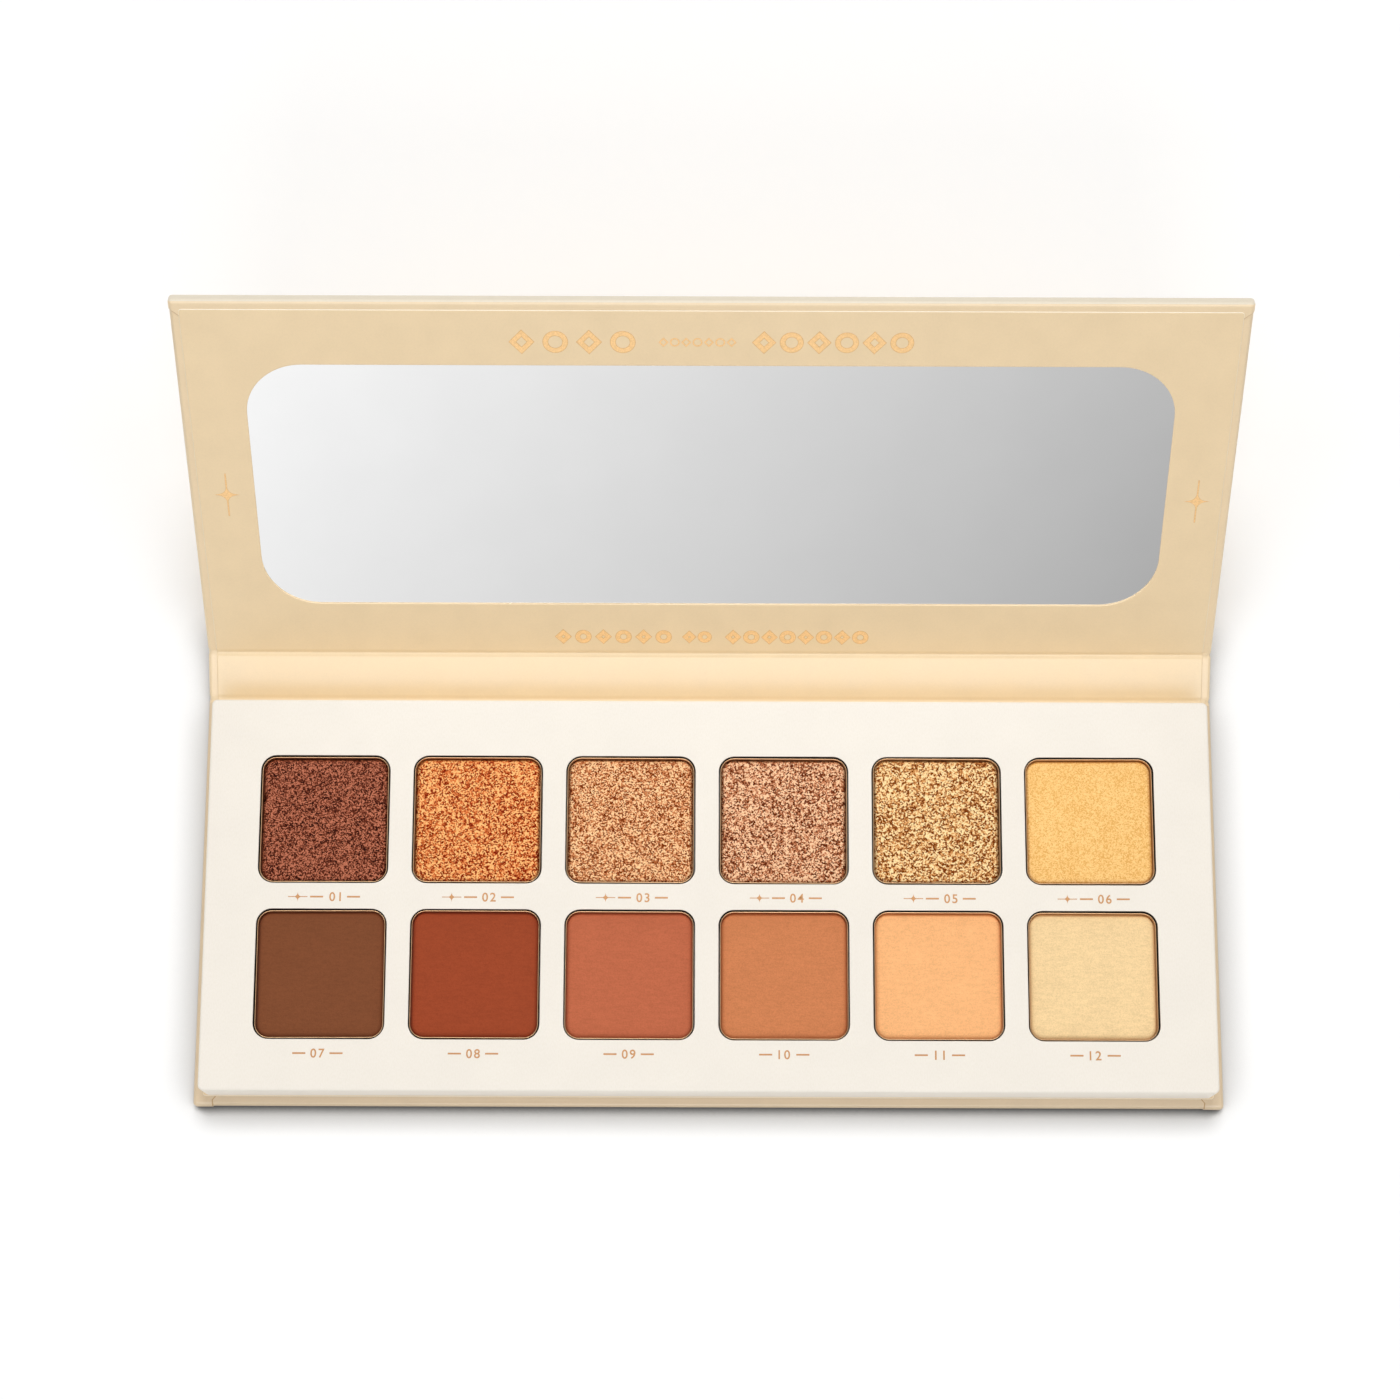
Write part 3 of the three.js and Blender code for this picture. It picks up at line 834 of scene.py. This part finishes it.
def cell_edges(centres, low, high):
    """Where the cells round a line of pans begin and end, on a tray that reaches from low to high."""
    between = [(a + b) / 2 for a, b in zip(centres, centres[1:])]
    return [low + TRAY_CORNER, *between, high - TRAY_CORNER]


def cell_cuts(edges, parts):
    """Points along a side of the tray that match the outlines of the cells on it."""
    low, high = edges[0], edges[-1]
    places = [a + (b - a) * part / parts for a, b in zip(edges, edges[1:]) for part in range(parts)]
    return [(place - low) / (high - low) for place in places[1:]]


def tray_cover():
    """Printed paper over the tray, rolled over its top edges and down into the apertures."""
    surface = Surface()
    top = tray_high.z
    parts = SIDE_STEPS + CORNER_STEPS
    back_row = range(1, PAN_COLUMNS + 1)
    columns = cell_edges([pan_centre(number).x for number in back_row], tray_low.x, tray_high.x)
    rows = cell_edges([pan_centre(number).y for number in (PAN_COUNT, 1)], tray_low.y, tray_high.y)
    cuts = (cell_cuts(columns, parts), cell_cuts(rows, parts))

    def outline(inset):
        x0, y0 = tray_low.x + inset, tray_low.y + inset
        x1, y1 = tray_high.x - inset, tray_high.y - inset
        return rounded_rectangle(x0, x1, y0, y1, TRAY_CORNER - inset, cuts=cuts)

    levels = [(0, top - tray_low.z), *lip(TRAY_ROUND, 6), (TRAY_ROUND + SUPPORT, 0), (TRAY_CORNER, 0)]
    surface.stack([surface.row(at_height(outline(inset), top - drop)) for inset, drop in levels])

    sleeve = [(LIP_ROUND + SUPPORT, 0), *lip(LIP_ROUND, 4, outward=False), (0, APERTURE_DEPTH)]
    for number in range(1, PAN_COUNT + 1):
        centre = pan_centre(number)
        row, column = divmod(number - 1, PAN_COLUMNS)
        sides = (*columns[column:column + 2], *rows[1 - row:3 - row])
        cell = cell_outline(*sides, parts, CORNER_STEPS // 2)
        edge = [surface.row(at_height(cell, top))]
        for growth, drop in sleeve:
            corner = APERTURE_CORNER + growth
            square = rounded_square(centre, APERTURE + 2 * growth, corner, SIDE_STEPS)
            edge.append(surface.row(at_height(wobbled(square, APERTURE_WOBBLE), top - drop)))
        # The lowest band down each aperture is near black: partly stained, partly painted shade of the gap.
        surface.stack(edge, finishes=[0] * (len(edge) - 2) + [1])
    return surface


def placed(points, centre, turn):
    """Points about the origin, turned and moved to a centre."""
    spin = Matrix.Rotation(turn, 3, "Z")
    shift = centre.to_3d()
    return [spin @ Vector(point) + shift for point in points]


def stamped_pan(node, centre, turn):
    """A square tin with a rolled rim."""
    low, high = span(node, WORLD)
    width = high.x - low.x
    half_sheet = PAN_SHEET / 2
    rim = [2 * turn for turn in quarter_turns(6)]
    levels = [(PAN_FOOT, low.z), (0.3 * PAN_FOOT, low.z + 0.24 * PAN_FOOT), (0, low.z + PAN_FOOT)]
    for turn_over in rim:
        inset = half_sheet - half_sheet * math.cos(turn_over)
        levels.append((inset, high.z - half_sheet + half_sheet * math.sin(turn_over)))
    levels += [(PAN_SHEET, low.z + PAN_FOOT), (PAN_SHEET + SUPPORT, low.z + PAN_SHEET)]
    surface = Surface()
    rows = []
    for inset, z in levels:
        square = rounded_square((0, 0), width - 2 * inset, PAN_CORNER - inset, 4)
        rows.append(surface.row(placed(at_height(square, z), centre, turn)))
    surface.stack(rows)
    surface.close(rows)
    return surface


def to_round_corner(u, v, corner):
    """Moves a point of the square from -1 to 1 into one with round corners of this share of a side."""
    start = 1 - corner
    a = max(abs(u) - start, 0) / corner
    b = max(abs(v) - start, 0) / corner
    x = min(abs(u), start) + corner * a * math.sqrt(1 - b * b / 2)
    y = min(abs(v), start) + corner * b * math.sqrt(1 - a * a / 2)
    return math.copysign(x, u), math.copysign(y, v)


def edge_distance(x, y, half, corner):
    """How far a point lies inside a rounded square."""
    across = abs(x) - (half - corner)
    along = abs(y) - (half - corner)
    outside = math.hypot(max(across, 0), max(along, 0))
    return corner - outside - min(max(across, along), 0)


def shimmer_relief(size, height):
    """Crinkled flakes: ridged facets of about this size, with clumps among them."""

    def relief(x, y):
        point = Vector((x, y, size)) / size
        nearest = noise.voronoi(point)[0]
        facets = nearest[1] - nearest[0]
        clumps = noise.fractal(point * 0.22, 0.8, 2.0, 3)
        fine = noise.noise(point * 1.9)
        return height * (0.5 * facets + 0.45 * clumps + 0.35 * fine)

    return relief


def matte_relief(height):
    """A pressed face that is almost flat, with faint strokes from the press cloth."""

    def relief(x, y):
        swell = noise.noise(Vector((x * 0.16, y * 0.16, 1)))
        strokes = noise.noise(Vector((x * 0.7, y * 3.1, 4)))
        return height * (swell + 0.25 * strokes)

    return relief


def powder_cake(number, node, centre, turn, relief, cells):
    """A pressed cake whose face is a fine grid, pulled down at its edges."""
    low, high = span(node, WORLD)
    top = high.z - POWDER_DROP
    pan_low, pan_high = span(pan_name(number), WORLD)
    half = (pan_high.x - pan_low.x) / 2 - PAN_SHEET
    corner = PAN_CORNER - PAN_SHEET
    offset = pan_centre(number)
    surface = Surface()
    grid = []
    for row in range(cells + 1):
        points = []
        for column in range(cells + 1):
            u, v = (2 * step / cells - 1 for step in (column, row))
            x, y = (half * value for value in to_round_corner(u, v, corner / half))
            inside = max(edge_distance(x, y, half, corner), 0)
            edge = max(1 - inside / POWDER_ROUND, 0)
            fall = POWDER_ROUND * (1 - math.sqrt(1 - edge * edge))
            shape = relief(x + offset.x, y + offset.y) * min(inside / RELIEF_FADE, 1)
            points.append((x, y, top - fall + shape))
        grid.append(surface.row(placed(points, centre, turn)))
    surface.stack(grid, closed=False)
    right = [row[-1] for row in grid[:-1]]
    left = [row[0] for row in reversed(grid[1:])]
    rim = [*grid[0][:-1], *right, *grid[-1][:0:-1], *left]
    foot = surface.row([(*surface.points[index].xy, low.z) for index in rim])
    surface.bridge(foot, rim)
    surface.face(reversed(foot))
    return surface


# ---- Foil ----


def lozenge(width, height):
    x, y = width / 2, height / 2
    return [(x, 0), (0, y), (-x, 0), (0, -y)]


def disc(diameter, steps=20):
    turns = [2 * math.pi * step / steps for step in range(steps)]
    return [(diameter / 2 * math.cos(a), diameter / 2 * math.sin(a)) for a in turns]


def bar(width, height):
    x, y = width / 2, height / 2
    return [(x, -y), (x, y), (-x, y), (-x, -y)]


def sparkle(width, height, ray, reach, hollow=2.0, steps=8):
    """A four-pointed star with hollow sides. Its upright points end in thin rays."""
    end = 1 - (ray / width) ** (1 / hollow)
    parts = [end * step / steps for step in range(steps + 1)]
    quarter = [(width / 2 * (1 - part) ** hollow, height / 2 * part ** hollow) for part in parts]
    quarter.append((ray / 2, reach / 2))
    top = quarter + [(-x, y) for x, y in reversed(quarter)]
    return top[:-1] + [(-x, -y) for x, y in top[:-1]]


def on_its_side(outline):
    return [(-y, x) for x, y in outline]


def grown(outline, border):
    """An outline moved outwards by a border, corner by corner."""
    count = len(outline)
    moved = []
    for index in range(count):
        before, here, after = (Vector(outline[(index + step) % count]) for step in (-1, 0, 1))
        sides = [(here - before).normalized(), (after - here).normalized()]
        out_before, out_after = (Vector((side.y, -side.x)) for side in sides)
        normal = (out_before + out_after).normalized()
        sharpness = max(normal.dot(out_before), 0.5)
        moved.append(here + normal * border / sharpness)
    return moved


def stamp_rows(surface, outline, centre, levels):
    """Rows of an outline, grown by different amounts at different heights."""
    rows = []
    for growth, z in levels:
        points = [(x + centre[0], y + centre[1]) for x, y in grown(outline, growth)]
        rows.append(surface.row(at_height(points, z)))
    return rows


def stamp(surface, outline, centre, level):
    """A flat raised mark, on a face at the given level."""
    rows = stamp_rows(surface, outline, centre, [(0, level), (0, level + FOIL_HEIGHT)])
    surface.stack(rows)
    surface.close(rows)


def border_steps(border):
    """The side of a bordered mark as (growth, z), going up."""
    low = FOIL_HEIGHT / 2
    return [(border, 0), (border, low), (0, low), (0, FOIL_HEIGHT)]


def bordered_stamp(surface, outline, border, centre):
    """A raised mark on the liner, with a lower and darker border."""
    rows = stamp_rows(surface, outline, centre, border_steps(border))
    surface.stack(rows, finishes=[1, 1, 0])
    surface.close(rows, finish=1)


def bordered_ring(surface, outline, stroke, centre):
    """A raised outline on the liner, with a lower and darker border on both sides."""
    outer = border_steps(FOIL_BORDER * stroke)
    inner = [(-stroke - growth, z) for growth, z in reversed(outer)]
    rows = stamp_rows(surface, outline, centre, outer + inner)
    surface.stack([*rows, rows[0]], finishes=[1, 1, 0, 0, 0, 1, 1, 1])


def spread(count, low, high):
    """Evenly spaced places from low to high."""
    return [low + (high - low) * (index + 0.5) / count for index in range(count)]


def lid_ornaments():
    """Rows of generic shapes above and below the mirror, and a sparkle on either side."""
    surface = Surface()
    window_end = mirror_high.y - MIRROR_OVERLAP
    upper_y = (window_end + LINER_END) / 2 - UPPER_ROW_DROP
    rows = [
        # where a run of shapes begins and ends, how many there are, their size, stroke and height
        (-36.4, -12.6, 4, 4.3, 0.8, upper_y),
        (-9.4, 4.6, 7, 1.7, 0.22, upper_y),
        (6.9, 36.1, 6, 4.0, 0.8, upper_y),
        (-29.5, -6.8, 6, 2.9, 0.75, LOWER_ROW),
        (-5.3, 0.5, 2, 2.5, 0.7, LOWER_ROW),
        (2.7, 30.1, 8, 2.9, 0.75, LOWER_ROW),
    ]
    for low, high, count, size, stroke, y in rows:
        for index, x in enumerate(spread(count, low, high)):
            shape = disc(size, 32) if index % 2 else lozenge(size, size * 1.1)
            bordered_ring(surface, shape, stroke, (x, y))
    for centre in LID_SPARKLE_PLACES:
        bordered_stamp(surface, sparkle(*LID_SPARKLE), LID_SPARKLE_BORDER, centre)
    return surface


def add_number(surface, text, centre, level):
    """Raised digits of the built-in font."""
    curve = bpy.data.curves.new("digits", "FONT")
    curve.body = text
    curve.space_character = 1.25
    curve.extrude = 0.02
    curve.offset = 0.012
    writer = add_object("digits", curve)
    graph = bpy.context.evaluated_depsgraph_get()
    mesh = bpy.data.meshes.new_from_object(writer.evaluated_get(graph))
    corners = [vertex.co for vertex in mesh.vertices]
    low, high = extent(corners)
    scale = LABEL_HEIGHT / (high.y - low.y)
    middle = (low + high) / 2
    points = []
    for corner in corners:
        x, y = (corner - middle).xy * scale
        z = level + (FOIL_HEIGHT if corner.z > 0 else 0)
        points.append((x + centre[0], y + centre[1], z))
    first = surface.row(points)[0]
    for polygon in mesh.polygons:
        surface.face([first + index for index in polygon.vertices])
    bpy.data.objects.remove(writer)
    bpy.data.curves.remove(curve)
    bpy.data.meshes.remove(mesh)


def tray_labels():
    """A number under each pan. The shimmers' have a sparkle beside them."""
    surface = Surface()
    level = tray_high.z
    for number in range(1, PAN_COUNT + 1):
        centre = pan_centre(number)
        x, y = centre.x, centre.y - LABEL_DROP
        is_shimmer = number <= len(SHIMMERS)
        middle = x + LABEL_SHIFT if is_shimmer else x
        add_number(surface, f"{number:02d}", (middle, y), level)
        for side in (-1, 1):
            stamp(surface, bar(BAR_LENGTH, BAR_STROKE), (middle + side * BAR_REACH, y), level)
        if is_shimmer:
            stamp(surface, on_its_side(sparkle(*LABEL_SPARKLE)), (x - SPARKLE_REACH, y), level)
    return surface


# ---- Assembly ----


def ride(piece, body, slot, *nodes):
    """A finished rigid piece that stands for CAD nodes."""
    if nodes:
        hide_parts(*nodes)
    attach(piece, body)


def bend(piece, node):
    """A finished paper strip shaped across a crease: its CAD node is hidden and its place baked into its
    points.
    """
    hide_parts(node)
    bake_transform(piece)


def build_case():
    # Painted light on the wrap: the sheen of the lid's far edge, and the shade of the fold lines.
    wear_and_painted_light = [painted_sheen_paper, fold_shade_paper]
    panels = [
        # body, its place, and the drawings of the wrap and the liner with their materials
        ("base", BASE, long_wrap(False), [shaded_base_paper, *wear_and_painted_light], long_liner(False), [liner_paper, paper_core]),
        ("lid", LID, long_wrap(True), [wrap_paper, *wear_and_painted_light], long_liner(True), [liner_paper, paper_core]),
        ("spine", SPINE, spine_wrap(), [wrap_paper], spine_liner(), [liner_paper]),
    ]
    for body, place, outside, wrap_papers, inside, liner_papers in panels:
        wrap = make_piece(f"{body}_wrap_paper", outside, place, wrap_papers, PAPER)
        ride(wrap, body, "printed_wrap", f"{body}_wrap")
        liner = make_piece(f"{body}_liner_paper", inside, place, liner_papers)
        ride(liner, body, "printed_liner", f"{body}_liner")
    creases = [
        ("lower_crease", LOWER_CREASE, SPINE_FOLD, ("base", "spine")),
        ("upper_crease", UPPER_CREASE, LID_FOLD, ("spine", "lid")),
    ]
    for name, place, fold, bodies in creases:
        wrap = make_piece(f"{name}_wrap_paper", crease_wrap(fold), place, [wrap_paper], PAPER)
        bend(wrap, f"{name}_wrap")
        liner = make_piece(f"{name}_liner_paper", crease_liner(fold), place, [liner_paper])
        bend(liner, f"{name}_liner")


def build_mirror():
    glass = make_piece("mirror_plate", mirror_slab(), LID, [silver])
    ride(glass, "lid", "mirror_glass", "mirror")
    ornaments = make_piece("lid_ornaments", lid_ornaments(), LID, [lid_foil, lid_foil_edge], sharp=20)
    ride(ornaments, "lid", None)


def powder_finish(node):
    """The material and the relief of a pan's powder, with how many cells its face needs."""
    if node in SHIMMERS:
        dark, middle, light, size, clumps, metallic, relief = SHIMMERS[node]
        colours = [linear(*colour) for colour in (dark, middle, light)]
        finish = shimmer_powder(node, *colours, size, clumps, metallic, relief)
        return finish, shimmer_relief(size * 1.6, relief * 0.6), SHIMMER_CELLS
    return matte_powder(node, linear(*MATTES[node])), matte_relief(0.03), MATTE_CELLS


def build_tray():
    cover = make_piece("tray_cover", tray_cover(), WORLD, [tray_paper, stained_and_shaded_edge], PAPER)
    ride(cover, "base", "tray_paper", "tray_skin")
    labels = make_piece("tray_labels", tray_labels(), WORLD, [tray_foil], sharp=20)
    ride(labels, "base", None)

    chance = random.Random(SEED)
    powder_nodes = sorted(node for node in frame["nodes"] if node.startswith("powder_"))
    for number, node in enumerate(powder_nodes, start=1):
        shift = Vector([chance.uniform(-PAN_SHIFT, PAN_SHIFT) for _ in range(2)])
        centre = pan_centre(number) + shift
        turn = chance.uniform(-PAN_TURN, PAN_TURN)
        pan = make_piece(f"{pan_name(number)}_tin", stamped_pan(pan_name(number), centre, turn),
                         WORLD, [tin])
        ride(pan, "base", "pan_metal", pan_name(number))
        finish, relief, cells = powder_finish(node)
        face = powder_cake(number, node, centre, turn, relief, cells)
        cake = make_piece(f"{node}_cake", face, WORLD, [finish], sharp=60)
        ride(cake, "base", node, node)


def finish_hidden_parts():
    """Materials for the CAD parts that stay as they are, inside the case and the tray."""
    finishes = dict.fromkeys(("board", "tray_plate", "tray_wall", "pan_bed", "bed_rib"), board)
    finishes |= {"tape": tape, "magnet": catch_steel, "striker": catch_steel}
    for name, node in frame["nodes"].items():
        for word, finish in finishes.items():
            if word in name:
                node.data.materials.clear()
                node.data.materials.append(finish)


# ---- The studio ----

CAMERA_PLACE = Vector((-0.001234, -0.098047, 0.596974))
CAMERA_AZIMUTH = math.radians(0.24)
CAMERA_ELEVATION = math.radians(77.072)
CAMERA_ROLL = math.radians(-0.047)
CAMERA_LENS = 82.63
CAMERA_SENSOR = 36
CAMERA_CLIP = (0.01, 20)

WORLD_STRENGTH = 0.475
SOFTBOXES = [
    # name, azimuth and elevation in degrees, distance, width and height in metres, and radiance
    ("back_softbox", 180, 66, 1.2, 0.35, 0.35, 12.8),
    ("front_softbox", 0, 40, 1.2, 0.6, 0.6, 2.4),
    ("left_softbox", -85, 62, 1.2, 0.5, 0.5, 1.43),
    ("right_softbox", 85, 62, 1.2, 0.5, 0.5, 1.43),
]
SHEEN_CARD = ("sheen_card", 0, 60, 0.9, 1.0, 0.24, 7.2)  # lights no matte surface
FLOOR_REACH = 4.0


def direction(azimuth, elevation):
    """From the palette outwards. Azimuth 0 is in front of it, and 90 degrees is to its right."""
    flat = math.cos(elevation)
    return Vector((math.sin(azimuth) * flat, -math.cos(azimuth) * flat, math.sin(elevation)))


def set_camera():
    data = bpy.data.cameras.new("camera")
    data.lens = CAMERA_LENS
    data.sensor_width = CAMERA_SENSOR
    data.clip_start, data.clip_end = CAMERA_CLIP
    camera = add_object("camera", data)
    back = direction(CAMERA_AZIMUTH, CAMERA_ELEVATION)
    right = Vector((math.cos(CAMERA_AZIMUTH), math.sin(CAMERA_AZIMUTH), 0))
    across = right * math.cos(CAMERA_ROLL) + back.cross(right) * math.sin(CAMERA_ROLL)
    axes = Matrix((across, back.cross(across), back)).transposed()
    camera.matrix_world = Matrix.Translation(CAMERA_PLACE) @ axes.to_4x4()
    bpy.context.scene.camera = camera


def softbox(name, azimuth, elevation, distance, width, height, radiance):
    """A rectangular light that looks at the palette."""
    data = bpy.data.lights.new(name, "AREA")
    data.shape = "RECTANGLE"
    data.size = width
    data.size_y = height
    data.energy = radiance * math.pi * width * height
    light = add_object(name, data)
    away = direction(math.radians(azimuth), math.radians(elevation))
    light.location = away * distance
    light.rotation_mode = "QUATERNION"
    light.rotation_quaternion = (-away).to_track_quat("-Z", "Y")
    return light


def set_world():
    world = bpy.data.worlds.new("studio")
    world.use_nodes = True
    background = world.node_tree.nodes["Background"]
    feed(world.node_tree, background, {"Color": grey(1), "Strength": WORLD_STRENGTH})
    bpy.context.scene.world = world
    bpy.context.scene.view_settings.view_transform = "Standard"


def stage_sheet(name, corners, finish):
    """One flat face that belongs to the studio, and not to the palette."""
    mesh = bpy.data.meshes.new(name)
    mesh.from_pydata(corners, [], [(0, 1, 2, 3)])
    mesh.materials.append(finish)
    sheet = add_object(name, mesh)
    return sheet


def floor():
    """A pale floor, with a deeper shade where it meets the palette on the side away from the light."""
    made, tree, shader = new_material("pale_floor", 0.9)
    to_light = add_node(tree, "ShaderNodeCombineXYZ", {"Y": 0.85, "Z": 0.53}).outputs["Vector"]
    contact = add_node(tree, "ShaderNodeAmbientOcclusion", {"Distance": 3 * MM, "Normal": to_light})
    around = add_node(tree, "ShaderNodeAmbientOcclusion", {"Distance": 10 * MM})
    near = ramp(tree, contact.outputs["AO"], [(0.2, grey(0.01)), (0.42, grey(0.34)), (0.62, grey(0.97))])
    wide = ramp(tree, around.outputs["AO"], [(0.3, grey(0.35)), (0.97, grey(1))])
    coloured(tree, shader, near, wide)
    glow = {"Emission Color": grey(1), "Emission Strength": 0.04}
    feed(tree, shader, {"Specular IOR Level": 0.2, **glow})
    x = y = FLOOR_REACH
    stage_sheet("floor", [(-x, -y, 0), (x, -y, 0), (x, y, 0), (-x, y, 0)], made)


CARD_DISTANCE = 0.45
CARD_HALF_WIDTH = 0.26
CARD_LOW = -0.02
CARD_HIGH = 0.24
CARD_BRIGHT = 1.0
CARD_DARK = 0.415
CARD_SLANT = 0.2  # how much of the shading runs downwards, and not across
CARD_SHADE_HALF_WIDTH = 0.16
CARD_SHADE_TOP = 0.125
CARD_SHADE_FOOT = 0.03


def mirror_card():
    """A card in front of the palette that only reflections show: the shaded room that fills the mirror."""
    made = bpy.data.materials.new("card")
    made.use_nodes = True
    tree = made.node_tree
    tree.nodes.clear()
    place = add_node(tree, "ShaderNodeSeparateXYZ", {"Vector": object_coordinates(tree)})
    across = stretched(tree, place.outputs["X"], -CARD_SHADE_HALF_WIDTH, CARD_SHADE_HALF_WIDTH)
    down = stretched(tree, place.outputs["Z"], CARD_SHADE_TOP, CARD_SHADE_FOOT)
    stops = [(0, grey(CARD_BRIGHT)), (1, grey(CARD_DARK))]
    glow = ramp(tree, mixed(tree, CARD_SLANT, across, down), stops)
    emission = add_node(tree, "ShaderNodeEmission", {"Color": glow})
    output = add_node(tree, "ShaderNodeOutputMaterial", {"Surface": emission.outputs[0]})
    tree.nodes.active = output
    x, y = CARD_HALF_WIDTH, -CARD_DISTANCE
    corners = [(-x, y, CARD_LOW), (x, y, CARD_LOW), (x, y, CARD_HIGH), (-x, y, CARD_HIGH)]
    card = stage_sheet("card", corners, made)
    card.visible_camera = False
    card.visible_diffuse = False
    card.visible_shadow = False


set_camera()
build_case()
build_mirror()
build_tray()
finish_hidden_parts()
floor()
mirror_card()
set_world()
for settings in SOFTBOXES:
    softbox(*settings)
softbox(*SHEEN_CARD).visible_diffuse = False

bpy.context.view_layer.update()
